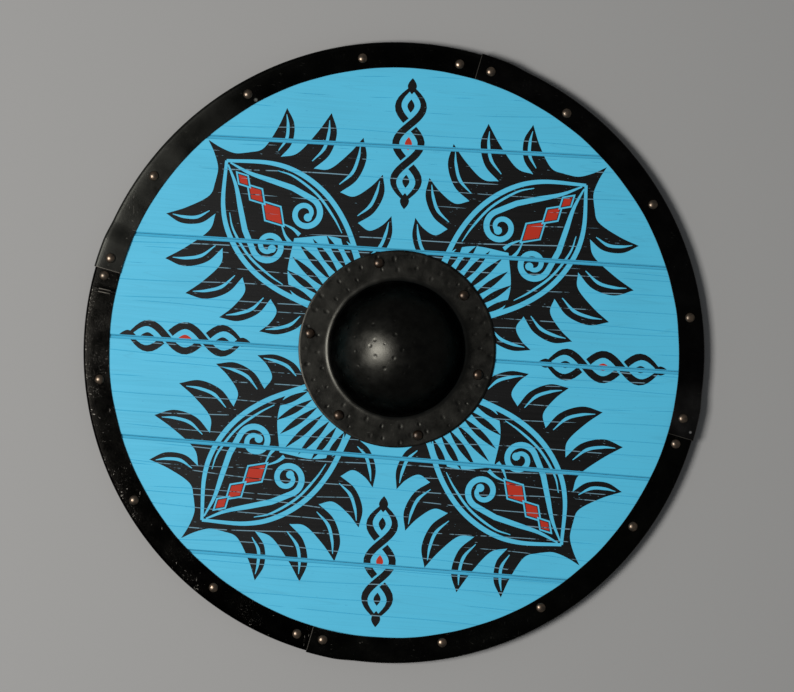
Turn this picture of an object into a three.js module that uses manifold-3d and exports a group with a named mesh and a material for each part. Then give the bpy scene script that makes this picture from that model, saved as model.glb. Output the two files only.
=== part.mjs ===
// A round wooden shield: six planks in a riveted steel rim, with a steel boss and a hand grip.
//
// Units are millimetres and +Z is up. The shield lies on its back: z = 0 is what it lies on, the
// painted face and the boss look up, and the planks run along X. The origin is the middle of the
// shield's circle. Angles are in degrees, counter-clockwise from +X as seen from above.

import * as THREE from 'three';
import { mergeVertices } from 'three/addons/utils/BufferGeometryUtils.js';
import Module from 'manifold-3d';

const wasm = await Module();
wasm.setup();

// --- Driving dimensions ------------------------------------------------------------------------

const SHIELD_RADIUS = 305;
const INCH = 25.4;

// Board: six planks. A seam is its height above the centre and its slope from X, in degrees.
const BOARD_THICKNESS = 12;
const BOARD_RADIUS = 303.2;
const BOARD_EDGE_EASING = 2.2;
const SEAM_GAP = 0.3;
// A seam's groove is steep on the upper plank and shallow on the lower one.
const GROOVE_DEPTH = 1.2;
const GROOVE_ABOVE = 1.2;
const GROOVE_BELOW = 2.8;
const SEAMS = [
  { height: 203.1, slope: 0.93 },
  { height: 100.9, slope: 0.22 },
  { height: -0.7, slope: 0.23 },
  { height: -102.3, slope: -0.74 },
  { height: -209.1, slope: -0.63 },
];

// Rim: four steel channels round the edge. At each lap one strip rides up over the next.
const RIM_WIDTH = INCH;
const SHEET = 1;
const RIM_BEND = 3.5;
const RIM_INNER_BEND = 1.8;
const LAP_LIFT = SHEET + 0.25;
const LAP_FLAT = 5;
const LAP_JOGGLE = 1.4;
const LAP_HIDDEN = 4.5;
const LAP_STEP = 2.5;
const RIM_STEP = 6;
const RIM_STRIPS = [
  { name: 'rim_upper_left', from: 77.5, to: 167.8, start: 'under', end: 'over' },
  { name: 'rim_upper_right', from: -12.5, to: 77.5, start: 'over', end: 'over' },
  { name: 'rim_lower_right', from: -102.5, to: -12.5, start: 'over', end: 'under' },
  { name: 'rim_lower_left', from: 167.8, to: 257.5, start: 'under', end: 'under' },
];

// Heights, from the surface the shield lies on
const BOARD_BACK = LAP_LIFT + SHEET;
const BOARD_FACE = BOARD_BACK + BOARD_THICKNESS;

// Rivets: a domed head over a straight shank
const SHANK_RADIUS = 2;
const HOLE_CLEARANCE = 0.3;
const RIM_RIVET = { head: 4.75, rise: 3, sides: 8 };
const BOSS_RIVET = { head: 5.2, rise: 3.4, sides: 8, tail: 4.6, tailRise: 1.6 };
// Each rim rivet is [angle, radius]. The four that also hold the upper strip of a lap come last.
const RIM_RIVETS = [
  [10.7, 292.2], [33.7, 292.6], [58.1, 289.5], [81.1, 290.1], [100.0, 290.3], [123.4, 291.2],
  [147.6, 292.4], [169.0, 294.0], [189.1, 289.9], [213.5, 293.0], [236.4, 290.5], [254.9, 291.6],
  [283.4, 288.2], [303.9, 288.4], [327.9, 289.8], [346.0, 290.4],
  [74.9, 291.4], [351.1, 290.6], [260.0, 289.9], [165.5, 292.8],
];
const LAP_RIVETS = 4;

// Boss: one sheet of steel, a flat flange round a dome
const BOSS_CENTRE = new THREE.Vector2(2.7, 3.8);
const BOSS_SHEET = 1.5;
const FLANGE_RADIUS = 96.8;
const DOME_BASE_RADIUS = 66.5;
const DOME_HEIGHT = 61;
const DOME_FILLET = 4;
const BOSS_SIDES = 36;
const HAND_HOLE_RADIUS = 60;
// Each boss rivet is [angle, radius] about the boss's centre. Two opposite ones also hold the grip.
const BOSS_RIVETS = [
  [105.8, 86.2], [42.6, 84.2], [346.3, 83.4], [287.4, 87.0], [232.6, 86.6], [173.7, 87.0],
];
const GRIP_RIVETS = [0, 3];

// Grip: a steel strap across the hand hole, between two boss rivets, with a wooden handle on it
const STRAP_WIDTH = INCH;
const STRAP_SHEET = 2;
const STRAP_OVERHANG = 12;
const HANDLE_LENGTH = 110;
const HANDLE_WIDTH = 31;
const HANDLE_WAIST = 27;
const HANDLE_HEIGHT = 23;
const SCREW = { head: 3.6, shank: 1.8, sink: 2, depth: 14, spacing: 80, sides: 8 };

// --- Materials -------------------------------------------------------------------------------

const paintedWood = new THREE.MeshStandardMaterial({ color: 0x54b4d6, roughness: 0.6 });
const bareWood = new THREE.MeshStandardMaterial({ color: 0x8a5f38, roughness: 0.7 });
const blackSteel = new THREE.MeshStandardMaterial({ color: 0x1c1b1a, roughness: 0.45, metalness: 0.6 });
const rivetSteel = new THREE.MeshStandardMaterial({ color: 0x5a4f45, roughness: 0.4, metalness: 0.9 });

// --- Small helpers ---------------------------------------------------------------------------

const radians = THREE.MathUtils.degToRad;

function polar(angle, radius) {
  return new THREE.Vector2(Math.cos(radians(angle)), Math.sin(radians(angle))).multiplyScalar(radius);
}

function solid(geometry) {
  const bare = geometry.clone();
  bare.deleteAttribute('normal');
  bare.deleteAttribute('uv');
  const merged = mergeVertices(bare, 1e-4);
  return new wasm.Manifold(new wasm.Mesh({
    numProp: 3,
    vertProperties: new Float32Array(merged.attributes.position.array),
    triVerts: new Uint32Array(merged.index.array),
  }));
}

function geometryOf(manifold) {
  const mesh = manifold.getMesh();
  const geometry = new THREE.BufferGeometry();
  geometry.setAttribute('position', new THREE.BufferAttribute(mesh.vertProperties, 3));
  geometry.setIndex(new THREE.BufferAttribute(mesh.triVerts, 1));
  return geometry;
}

// A profile of [radius, height] pairs turned about a vertical axis. It starts and ends on the axis.
function revolve(profile, sides) {
  const points = profile.map(([radius, height]) => new THREE.Vector2(radius, height));
  return new THREE.LatheGeometry(points, sides).rotateX(Math.PI / 2);
}

// Rings of the same number of points, joined one to the next and closed with a cap at each end.
// The caps are triangulated from each end ring's own flat outline, a list of Vector2.
function loft(rings, capOutline) {
  const count = rings[0].length;
  const positions = rings.flat().flatMap((point) => [point.x, point.y, point.z]);
  const faces = [];
  for (let ring = 0; ring < rings.length - 1; ring += 1) {
    for (let i = 0; i < count; i += 1) {
      const a = ring * count + i;
      const b = ring * count + (i + 1) % count;
      faces.push(a, b, b + count, a, b + count, a + count);
    }
  }
  const last = (rings.length - 1) * count;
  const clockwise = THREE.ShapeUtils.isClockWise(capOutline);
  for (const triangle of THREE.ShapeUtils.triangulateShape(capOutline, [])) {
    const [a, b, c] = clockwise ? triangle.reverse() : triangle;
    faces.push(a, c, b, last + a, last + b, last + c);
  }
  const geometry = new THREE.BufferGeometry();
  geometry.setAttribute('position', new THREE.Float32BufferAttribute(positions, 3));
  geometry.setIndex(faces);
  return geometry;
}

function named(name, geometry, material) {
  geometry.computeVertexNormals();
  const mesh = new THREE.Mesh(geometry, material);
  mesh.name = name;
  return mesh;
}

// A vertical pin through everything from below the shield to above it, used as a cutter
function pin(centre, radius, sides, bottom = -10, top = 40) {
  const profile = [[0, bottom], [radius, bottom], [radius, top], [0, top]];
  return solid(revolve(profile, sides).translate(centre.x, centre.y, 0));
}

// --- Places of the rivets --------------------------------------------------------------------

const rimRivets = RIM_RIVETS.map(([angle, radius], index) => ({
  name: `rim_rivet_${String(index + 1).padStart(2, '0')}`,
  centre: polar(angle, radius),
  onLap: index >= RIM_RIVETS.length - LAP_RIVETS,
}));

const bossRivets = BOSS_RIVETS.map(([angle, radius], index) => ({
  name: `boss_rivet_${index + 1}`,
  centre: polar(angle, radius).add(BOSS_CENTRE),
  holdsGrip: GRIP_RIVETS.includes(index),
}));

// A solid with a hole for each of the rivets that pass through it; the other rivets leave it as it is
function drill(body, rivets, sides) {
  let drilled = body;
  for (const rivet of rivets) {
    const cutter = pin(rivet.centre, SHANK_RADIUS + HOLE_CLEARANCE, sides);
    if (!drilled.intersect(cutter).isEmpty()) drilled = drilled.subtract(cutter);
  }
  return drilled;
}

// --- Planks ----------------------------------------------------------------------------------

// The edge of a plank along one seam: its height at the given x
function seamHeight(seam, x) {
  return seam.height + x * Math.tan(radians(seam.slope));
}

// A straight board between two seams, longer than the shield, with its side of the groove along each
function straightPlank(upper, lower) {
  const reach = SHIELD_RADIUS + 20;
  const half = SEAM_GAP / 2;
  const ringAt = (x) => {
    const top = upper ? seamHeight(upper, x) - half : reach;
    const bottom = lower ? seamHeight(lower, x) + half : -reach;
    const shoulder = BOARD_FACE - GROOVE_DEPTH;
    return [
      new THREE.Vector3(x, bottom, BOARD_BACK),
      new THREE.Vector3(x, top, BOARD_BACK),
      new THREE.Vector3(x, top, shoulder),
      new THREE.Vector3(x, top - GROOVE_BELOW, BOARD_FACE),
      new THREE.Vector3(x, bottom + GROOVE_ABOVE, BOARD_FACE),
      new THREE.Vector3(x, bottom, shoulder),
    ];
  };
  const ends = [ringAt(-reach), ringAt(reach)];
  const outline = ends[0].map((point) => new THREE.Vector2(point.y, point.z));
  return solid(loft(ends, outline));
}

function planks() {
  const ease = BOARD_EDGE_EASING;
  const disc = solid(revolve([
    [0, BOARD_BACK],
    [BOARD_RADIUS - ease, BOARD_BACK],
    [BOARD_RADIUS, BOARD_BACK + ease],
    [BOARD_RADIUS, BOARD_FACE - ease],
    [BOARD_RADIUS - ease, BOARD_FACE],
    [0, BOARD_FACE],
  ], 360 / RIM_STEP));
  const board = disc.subtract(pin(BOSS_CENTRE, HAND_HOLE_RADIUS, BOSS_SIDES));
  const edges = [null, ...SEAMS, null];
  return edges.slice(1).map((lower, index) => {
    let plank = board.intersect(straightPlank(edges[index], lower));
    plank = drill(plank, rimRivets, RIM_RIVET.sides);
    plank = drill(plank, bossRivets, BOSS_RIVET.sides);
    return named(`plank_${index + 1}`, geometryOf(plank), paintedWood);
  });
}

// --- Rim -------------------------------------------------------------------------------------

// The channel's section as [radius, height] pairs. lift is 0 on the plain strip and 1 on a lap.
function rimSection(lift) {
  const outer = SHIELD_RADIUS + lift * LAP_LIFT;
  const inner = SHIELD_RADIUS - RIM_WIDTH;
  const top = BOARD_FACE + SHEET + lift * LAP_LIFT;
  const bottom = LAP_LIFT * (1 - lift);
  const bend = [90, 45, 0].map((angle) => polar(angle, RIM_BEND));
  const topBend = bend.map((p) => [outer - RIM_BEND + p.x, top - RIM_BEND + p.y]);
  const bottomBend = topBend.map(([radius, height]) => [radius, top + bottom - height]).reverse();
  const wall = outer - SHEET;
  const ceiling = top - SHEET;
  const floor = bottom + SHEET;
  return [
    [inner, top], ...topBend, ...bottomBend, [inner, bottom],
    [inner, floor],
    [wall - RIM_INNER_BEND, floor],
    [wall, floor + RIM_INNER_BEND],
    [wall, ceiling - RIM_INNER_BEND],
    [wall - RIM_INNER_BEND, ceiling],
    [inner, ceiling],
  ];
}

// Angles along one strip with the lift at each. An upper end stops at the lap's edge, lifted; a
// lower end runs on, out of sight, under its neighbour.
function rimStations({ from, to, start, end }) {
  const endStations = (edge, kind, inward) => {
    if (kind === 'under') {
      return [{ angle: edge - inward * LAP_HIDDEN, lift: 0 }, { angle: edge, lift: 0 }];
    }
    return [
      { angle: edge, lift: 1 },
      { angle: edge + inward * LAP_STEP, lift: 1 },
      { angle: edge + inward * LAP_FLAT, lift: 1 },
      { angle: edge + inward * (LAP_FLAT + LAP_JOGGLE), lift: 0 },
    ];
  };
  const first = endStations(from, start, 1);
  const last = endStations(to, end, -1).reverse();
  const stations = [...first];
  const clear = RIM_STEP / 3;
  for (let angle = Math.ceil(from / RIM_STEP) * RIM_STEP; angle < to; angle += RIM_STEP) {
    const afterStart = angle > first.at(-1).angle + clear;
    const beforeEnd = angle < last[0].angle - clear;
    if (afterStart && beforeEnd) stations.push({ angle, lift: 0 });
  }
  return [...stations, ...last];
}

function rimStrip(strip) {
  const rings = rimStations(strip).map(({ angle, lift }) => rimSection(lift).map(([radius, height]) => {
    const place = polar(angle, radius);
    return new THREE.Vector3(place.x, place.y, height);
  }));
  const outline = rimSection(0).map(([radius, height]) => new THREE.Vector2(radius, height));
  const body = drill(solid(loft(rings, outline)), rimRivets, RIM_RIVET.sides);
  return named(strip.name, geometryOf(body), blackSteel);
}

// --- Boss ------------------------------------------------------------------------------------

// One face of the boss's sheet, from the crown out to the flange, offset inwards by depth
function bossFace(depth) {
  const crown = (DOME_BASE_RADIUS ** 2 + DOME_HEIGHT ** 2) / (2 * DOME_HEIGHT);
  const middle = BOARD_FACE + BOSS_SHEET + DOME_HEIGHT - crown;
  const flange = BOARD_FACE + BOSS_SHEET - depth;
  const radius = crown - depth;
  const fillet = DOME_FILLET + depth;
  // The fillet's centre stands off the dome and above the flange by the fillet's radius.
  const rise = flange + fillet - middle;
  const reach = Math.sqrt((radius + fillet) ** 2 - rise ** 2);
  const join = Math.atan2(rise, reach);
  const steps = 6;
  const dome = [];
  for (let i = 0; i <= steps; i += 1) {
    const angle = Math.PI / 2 + (join - Math.PI / 2) * (i / steps);
    dome.push([radius * Math.cos(angle), middle + radius * Math.sin(angle)]);
  }
  dome[0][0] = 0;
  const turn = (3 * Math.PI / 2 + Math.PI + join) / 2;
  const halfway = [reach + fillet * Math.cos(turn), flange + fillet + fillet * Math.sin(turn)];
  return [...dome, halfway, [reach, flange]];
}

function boss() {
  const upper = bossFace(0);
  const lower = bossFace(BOSS_SHEET).reverse();
  const rim = [[FLANGE_RADIUS, BOARD_FACE + BOSS_SHEET], [FLANGE_RADIUS, BOARD_FACE]];
  const shell = revolve([...upper, ...rim, ...lower].reverse(), BOSS_SIDES);
  shell.translate(BOSS_CENTRE.x, BOSS_CENTRE.y, 0);
  const body = drill(solid(shell), bossRivets, BOSS_RIVET.sides);
  return named('boss', geometryOf(body), blackSteel);
}

// --- Rivets ----------------------------------------------------------------------------------

// The domed head as [radius, height] pairs, from its edge up to its crown
function headProfile({ head, rise }, seat) {
  return [
    [head, seat],
    [head * 0.93, seat + rise * 0.45],
    [head * 0.55, seat + rise * 0.88],
    [0, seat + rise],
  ];
}

function rimRivet({ name, centre, onLap }) {
  const seat = BOARD_FACE + SHEET + (onLap ? LAP_LIFT : 0);
  const end = onLap ? 0.1 : LAP_LIFT;
  const profile = [[0, end], [SHANK_RADIUS, end], [SHANK_RADIUS, seat], ...headProfile(RIM_RIVET, seat)];
  return named(name, revolve(profile, RIM_RIVET.sides).translate(centre.x, centre.y, 0), rivetSteel);
}

// A boss rivet is peened over on the back of the board, or flush in the grip's strap.
function bossRivet({ name, centre, holdsGrip }) {
  const seat = BOARD_FACE + BOSS_SHEET;
  const { tail, tailRise, sides } = BOSS_RIVET;
  const end = holdsGrip
    ? [[0, BOARD_BACK - STRAP_SHEET], [SHANK_RADIUS, BOARD_BACK - STRAP_SHEET]]
    : [[0, BOARD_BACK - tailRise], [tail, BOARD_BACK - tailRise], [tail, BOARD_BACK],
      [SHANK_RADIUS, BOARD_BACK]];
  const profile = [...end, [SHANK_RADIUS, seat], ...headProfile(BOSS_RIVET, seat)];
  return named(name, revolve(profile, sides).translate(centre.x, centre.y, 0), rivetSteel);
}

// --- Grip ------------------------------------------------------------------------------------

function grip() {
  const [upper, lower] = GRIP_RIVETS.map((index) => bossRivets[index].centre);
  const along = upper.clone().sub(lower);
  const middle = upper.clone().add(lower).multiplyScalar(0.5);
  const turn = along.angle();
  const place = (geometry) => geometry.rotateZ(turn).translate(middle.x, middle.y, 0);
  const half = along.length() / 2 + STRAP_OVERHANG;

  const screws = [-0.5, 0.5].map((side, index) => ({
    name: `grip_screw_${index + 1}`,
    centre: middle.clone().add(along.clone().normalize().multiplyScalar(side * SCREW.spacing)),
  }));
  const strapBack = BOARD_BACK - STRAP_SHEET;
  const screwProfile = (gap, depth) => [
    [0, strapBack],
    [SCREW.head + gap, strapBack],
    [SCREW.shank + gap, strapBack + SCREW.sink],
    [SCREW.shank + gap, strapBack + depth],
    [0, strapBack + depth + SCREW.shank],
  ];
  const screwSolid = ({ centre }, gap, depth) => (
    revolve(screwProfile(gap, depth), SCREW.sides).translate(centre.x, centre.y, 0)
  );

  // Strap: flat, with rounded ends
  const outline = new THREE.Shape();
  outline.absarc(half - STRAP_WIDTH / 2, 0, STRAP_WIDTH / 2, -Math.PI / 2, Math.PI / 2);
  outline.absarc(STRAP_WIDTH / 2 - half, 0, STRAP_WIDTH / 2, Math.PI / 2, 3 * Math.PI / 2);
  const extrusion = { depth: STRAP_SHEET, bevelEnabled: false, curveSegments: 8 };
  const flat = new THREE.ExtrudeGeometry(outline, extrusion);
  flat.translate(0, 0, strapBack);
  let strap = drill(solid(place(flat)), bossRivets, BOSS_RIVET.sides);

  // Handle: half round over the strap, thinner at its waist, with rounded ends
  const steps = 8;
  const section = (position, scale) => {
    const waist = 0.5 + 0.5 * Math.cos(2 * Math.PI * position);
    const width = (HANDLE_WIDTH + (HANDLE_WAIST - HANDLE_WIDTH) * waist) * scale / 2;
    const height = HANDLE_HEIGHT * scale;
    const ring = [];
    for (let i = 0; i <= steps; i += 1) {
      const angle = (i / steps) * Math.PI;
      const crown = BOARD_BACK + Math.max(0, height * Math.sin(angle));
      ring.push(new THREE.Vector3(position * HANDLE_LENGTH, width * Math.cos(angle), crown));
    }
    return ring;
  };
  const stations = [[-0.5, 0.78], [-0.46, 1], [-0.25, 1], [0, 1], [0.25, 1], [0.46, 1], [0.5, 0.78]];
  const rings = stations.map(([position, scale]) => section(position, scale));
  const cap = rings[0].map((point) => new THREE.Vector2(point.y, point.z));
  let handle = solid(place(loft(rings, cap)));

  for (const screw of screws) {
    const cutter = solid(screwSolid(screw, HOLE_CLEARANCE, SCREW.depth + HOLE_CLEARANCE));
    strap = strap.subtract(cutter);
    handle = handle.subtract(cutter);
  }
  return [
    named('grip_strap', geometryOf(strap), blackSteel),
    named('grip_handle', geometryOf(handle), bareWood),
    ...screws.map((screw) => named(screw.name, screwSolid(screw, 0, SCREW.depth), rivetSteel)),
  ];
}

// --- The shield --------------------------------------------------------------------------------

const shield = new THREE.Group();
shield.add(...planks());
shield.add(...RIM_STRIPS.map(rimStrip));
shield.add(...rimRivets.map(rimRivet));
shield.add(boss());
shield.add(...bossRivets.map(bossRivet));
shield.add(...grip());

export default shield;
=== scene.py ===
"""The looks of a round wooden shield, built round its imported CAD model.

The shield lies on its back, face up. Each CAD node is replaced by a finer piece of the same size:
planks with grain, grooves and a painted pattern, a hammered boss, a rim of lapped steel strips,
domed rivets and a hand grip. Lengths are in millimetres, except those of the floor, the light and
the camera, which are in metres. Angles are in degrees, counter-clockwise from +X as seen from
above, and turns are the same in radians.
"""

import math
import random

import bmesh
import bpy
import numpy as np
from mathutils import Matrix, Vector, noise
from mathutils.geometry import delaunay_2d_cdt


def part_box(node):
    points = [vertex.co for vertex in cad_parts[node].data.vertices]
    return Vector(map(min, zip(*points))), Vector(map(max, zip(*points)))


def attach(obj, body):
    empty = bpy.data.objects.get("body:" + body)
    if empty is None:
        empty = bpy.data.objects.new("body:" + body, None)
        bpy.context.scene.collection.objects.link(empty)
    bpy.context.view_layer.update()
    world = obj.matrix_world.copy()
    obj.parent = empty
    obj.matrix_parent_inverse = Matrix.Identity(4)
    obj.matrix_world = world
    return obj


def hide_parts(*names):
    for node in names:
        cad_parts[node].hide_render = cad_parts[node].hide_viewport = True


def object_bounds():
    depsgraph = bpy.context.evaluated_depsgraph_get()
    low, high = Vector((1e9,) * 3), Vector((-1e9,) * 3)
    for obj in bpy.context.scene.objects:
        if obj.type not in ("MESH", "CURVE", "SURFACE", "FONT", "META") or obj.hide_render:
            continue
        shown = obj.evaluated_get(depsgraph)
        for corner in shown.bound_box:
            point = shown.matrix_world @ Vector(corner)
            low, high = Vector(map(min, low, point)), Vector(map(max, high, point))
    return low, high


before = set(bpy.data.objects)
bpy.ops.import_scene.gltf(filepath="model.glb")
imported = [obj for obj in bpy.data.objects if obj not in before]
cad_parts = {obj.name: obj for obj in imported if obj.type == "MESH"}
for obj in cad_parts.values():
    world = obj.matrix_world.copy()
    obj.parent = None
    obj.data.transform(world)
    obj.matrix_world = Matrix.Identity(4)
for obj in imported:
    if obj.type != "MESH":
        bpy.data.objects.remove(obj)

cad_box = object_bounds()

MM = 0.001

# --- Sizes that come from the frame -------------------------------------------------------------


def node_box(name):
    """A CAD node's lowest and highest corners."""
    low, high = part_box(name)
    return Vector(low) / MM, Vector(high) / MM


def node_centre(name):
    low, high = node_box(name)
    return (low + high) / 2


def nodes_named(start):
    return [name for name in sorted(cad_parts) if name.startswith(start)]


def places(names):
    """Where the middles of some nodes are, as seen from above."""
    return [node_centre(name).xy for name in names]


SHIELD_RADIUS = cad_box[1].x / MM
BOARD_BACK, BOARD_FACE = (corner.z for corner in node_box("plank_3"))
BOSS_CENTRE = node_centre("boss")
FLANGE_RADIUS = (node_box("boss")[1].y - node_box("boss")[0].y) / 2
BOSS_CROWN = node_box("boss")[1].z
RIM_RIVETS = nodes_named("rim_rivet")
BOSS_RIVETS = nodes_named("boss_rivet")
GRIP_SCREWS = nodes_named("grip_screw")
# The two boss rivets that reach through the grip's strap
GRIP_RIVETS = [
    name for name in BOSS_RIVETS if node_box(name)[0].z < node_box("grip_strap")[0].z + 0.1
]

# --- Sizes that repeat the construction's -------------------------------------------------------

BOARD_RADIUS = 303.2
# How far in, and how far down, the board's edge is eased
BOARD_EASING = 7.2
BOARD_EASING_DROP = 2.6
SEAM_GAP = 0.3
# A groove reaches above and below its seam. It slopes evenly on the upper plank, and starts with a
# short step on the lower one.
GROOVE_DEPTH = 1.2
GROOVE_ABOVE = 1.2
GROOVE_BELOW = 2.8
GROOVE_STEP = 0.65
# The seams from the top down, each as its height at the shield's middle and its slope
SEAMS = [(203.1, 0.93), (100.9, 0.22), (-0.7, 0.23), (-102.3, -0.74), (-209.1, -0.63)]
HAND_HOLE_RADIUS = 60
SHANK_RADIUS = 2
HOLE_RADIUS = 2.3

RIM_WIDTH = 25.4
SHEET = 1
# At a lap the upper strip is lifted over the lower one, which goes on beneath it, unseen
LAP_LIFT = 1.25
LAP_FLAT = 5
LAP_HIDDEN = 4.5
# Each strip's first and last angle, and how it lies at its laps there
RIM_STRIPS = [
    ("rim_upper_left", 77.5, 167.8, "under", "over"),
    ("rim_upper_right", -12.5, 77.5, "over", "over"),
    ("rim_lower_right", -102.5, -12.5, "over", "under"),
    ("rim_lower_left", 167.8, 257.5, "under", "under"),
]

BOSS_SHEET = 1.5
DOME_BASE_RADIUS = 66.5
DOME_FILLET = 4

# --- Shapes in the plane ------------------------------------------------------------------------


def at(radius, turn):
    """A place by its distance and its turn about the middle."""
    return radius * math.cos(turn), radius * math.sin(turn)


def polar(angle, radius):
    return np.array(at(radius, math.radians(angle)))


def around(centre, radius, turns):
    """Points about a centre."""
    return np.column_stack([centre[0] + radius * np.cos(turns), centre[1] + radius * np.sin(turns)])


def circle(centre, radius, count, start=0.0):
    return around(centre, radius, start + np.arange(count) / count * 2 * math.pi)


def inside(points, polygon):
    """Which of the points lie in the polygon, by the even-odd rule."""
    found = np.zeros(len(points), bool)
    low, high = polygon.min(axis=0), polygon.max(axis=0)
    near = np.flatnonzero(((points >= low) & (points <= high)).all(axis=1))
    x, y = points[near, 0], points[near, 1]
    odd = np.zeros(len(near), bool)
    for (ax, ay), (bx, by) in zip(np.roll(polygon, 1, axis=0), polygon):
        if ay != by:
            odd ^= ((ay > y) != (by > y)) & (x < (bx - ax) * (y - ay) / (by - ay) + ax)
    found[near] = odd
    return found


def loop_edges(start, count):
    return [(start + i, start + (i + 1) % count) for i in range(count)]


class Sheet:
    """A flat outline with holes, and the points and lines that its triangles run to."""

    def __init__(self, outline):
        self.points, self.edges, self.holes = [], [], []
        self.outline = outline
        self.line(outline)

    def dots(self, points):
        self.points.extend(Vector((float(p[0]), float(p[1]))) for p in points)

    def line(self, points, closed=True):
        edges = loop_edges(len(self.points), len(points))
        self.dots(points)
        self.edges.extend(edges if closed else edges[:-1])

    def hole(self, points):
        self.holes.append(points)
        self.line(points)

    def triangles(self):
        """The points, the triangles that fill the outline, and the triangles' middles."""
        found, _, faces, *_ = delaunay_2d_cdt(self.points, self.edges, [], 0, 1e-4)
        points, faces = np.array([v[:] for v in found]), np.array(faces, dtype=int)
        middles = points[faces].mean(axis=1)
        kept = inside(middles, self.outline)
        for hole in self.holes:
            kept &= ~inside(middles, hole)
        return points, faces[kept], middles[kept]


# --- Meshes -------------------------------------------------------------------------------------


def new_object(name, data):
    made = bpy.data.objects.new(name, data)
    bpy.context.collection.objects.link(made)
    return made


def finish_piece(node, mesh):
    """Puts a mesh in the scene as the piece that stands for a CAD node."""
    piece = new_object(f"{node}_look", mesh)
    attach(piece, "root")
    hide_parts(node)
    return piece


def new_mesh(name, points, faces, materials, smooth=True, face_materials=None):
    mesh = bpy.data.meshes.new(name)
    mesh.from_pydata([Vector(p) * MM for p in points], [], [list(map(int, f)) for f in faces])
    for material in materials:
        mesh.materials.append(material)
    if face_materials is not None:
        mesh.polygons.foreach_set("material_index", np.asarray(face_materials, dtype=np.int32))
    mesh.polygons.foreach_set("use_smooth", np.full(len(mesh.polygons), smooth))
    mesh.validate()
    mesh.update()
    return mesh


def wall_faces(count, rings, start=0):
    """Faces between closed rings that have the same count of points and follow one another."""
    return [
        [low + a, low + b, low + count + b, low + count + a]
        for low in range(start, start + (rings - 1) * count, count)
        for a, b in loop_edges(0, count)
    ]


def sharpen(mesh, limit):
    """Smooth shading, except across edges sharper than the limit."""
    mesh.polygons.foreach_set("use_smooth", np.full(len(mesh.polygons), True))
    mesh.set_sharp_from_angle(angle=math.radians(limit))


def remove_loose(mesh):
    """Takes out points that no face uses."""
    work = bmesh.new()
    work.from_mesh(mesh)
    bmesh.ops.delete(work, geom=[v for v in work.verts if not v.link_faces], context="VERTS")
    work.to_mesh(mesh)
    work.free()


def loft(rings, start=0):
    """Points and faces of a solid through rings that have the same count of points."""
    count, points = len(rings[0]), [point for ring in rings for point in ring]
    caps = [list(range(start, start + count))[::-1]]
    caps.append([start + len(points) - count + i for i in range(count)])
    return points, caps + wall_faces(count, len(rings), start)


def pin_mesh(middles, radius, low, high, sides=16):
    """Upright pins that cut a piece's holes."""
    points, faces = [], []
    for middle in middles:
        ring = circle(middle, radius, sides)
        pin, pin_faces = loft([[(x, y, z) for x, y in ring] for z in (low, high)], len(points))
        points += pin
        faces += pin_faces
    return new_mesh("pins", points, faces, [], False)


def drill(piece, pins):
    """Cuts the pins out of a piece."""
    cutter = new_object("cutter", pins)
    cut = piece.modifiers.new("holes", "BOOLEAN")
    cut.operation, cut.solver, cut.object = "DIFFERENCE", "EXACT", cutter
    bpy.context.view_layer.update()
    graph = bpy.context.evaluated_depsgraph_get()
    drilled = bpy.data.meshes.new_from_object(piece.evaluated_get(graph))
    piece.modifiers.remove(cut)
    piece.data = drilled
    bpy.data.objects.remove(cutter)
    sharpen(drilled, 35)


# --- The painted pattern ------------------------------------------------------------------------
# Four flame-edged leaves on the diagonals, each with a fan, scrolls and lozenges, and a plait
# between each pair. Layers are painted in order, each a colour and an outline on the board's
# face. A leaf and a plait are drawn pointing along +X, and then turned into place.

BLUE, BLACK, RED = "blue", "black", "red"
LEAF_ANGLES = [45, 135, 225, 315]
PLAIT_ANGLES = [0, 90, 180, 270]


def smooth_path(points, steps=7):
    """A smooth curve through all the points."""
    p = np.asarray(points, float)
    p = np.vstack([2 * p[0] - p[1], p, 2 * p[-1] - p[-2]])
    t = np.linspace(0, 1, steps, endpoint=False)[:, None]
    parts = []
    for a, b, c, d in zip(p[:-3], p[1:-2], p[2:-1], p[3:]):
        bend = (2 * a - 5 * b + 4 * c - d) * t**2 + (3 * b - a - 3 * c + d) * t**3
        parts.append(b + ((c - a) * t + bend) / 2)
    return np.vstack([*parts, p[-2:-1]])


def polar_path(stops):
    """A smooth curve through stops given as (angle, distance from the shield's middle)."""
    return smooth_path([polar(*stop) for stop in stops])


def stroke(path, *widths):
    """The outline of a brush stroke along a path, whose width runs through the given widths."""
    along = np.gradient(path, axis=0)
    along /= np.linalg.norm(along, axis=1)[:, None]
    across = np.column_stack([-along[:, 1], along[:, 0]])
    spread = np.linspace(0, 1, len(widths)) if len(widths) > 1 else [0]
    half = np.interp(np.linspace(0, 1, len(path)), spread, widths)[:, None] / 2
    return np.vstack([path + across * half, (path - across * half)[::-1]])


def spiral(centre, outer, inner, start, rounds, steps=44):
    """A path that winds in about a centre, from the outer to the inner radius."""
    t = np.linspace(0, 1, steps)
    return around(centre, outer + (inner - outer) * t, np.radians(start) + t * rounds * 2 * math.pi)


def almond(centre, length, width, steps=16):
    """A pointed oval, long in the first direction."""
    t = np.linspace(-1, 1, steps)
    half = width / 2 * (1 - np.abs(t) ** 1.7)
    upper = np.column_stack([centre[0] + t * length / 2, centre[1] + half])
    lower = np.column_stack([centre[0] + t * length / 2, centre[1] - half])
    return np.vstack([upper, lower[::-1][1:-1]])


def lozenge(centre, length, width):
    x, y = centre
    return np.array([(x - length / 2, y), (x, y - width / 2), (x + length / 2, y), (x, y + width / 2)])


def turned(shape, angle):
    c, s = math.cos(math.radians(angle)), math.sin(math.radians(angle))
    return shape @ np.array([[c, s], [-s, c]])


def mirrored(shape):
    return shape * (1, -1)


LEAF_ROOT = (22, 84)
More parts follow.
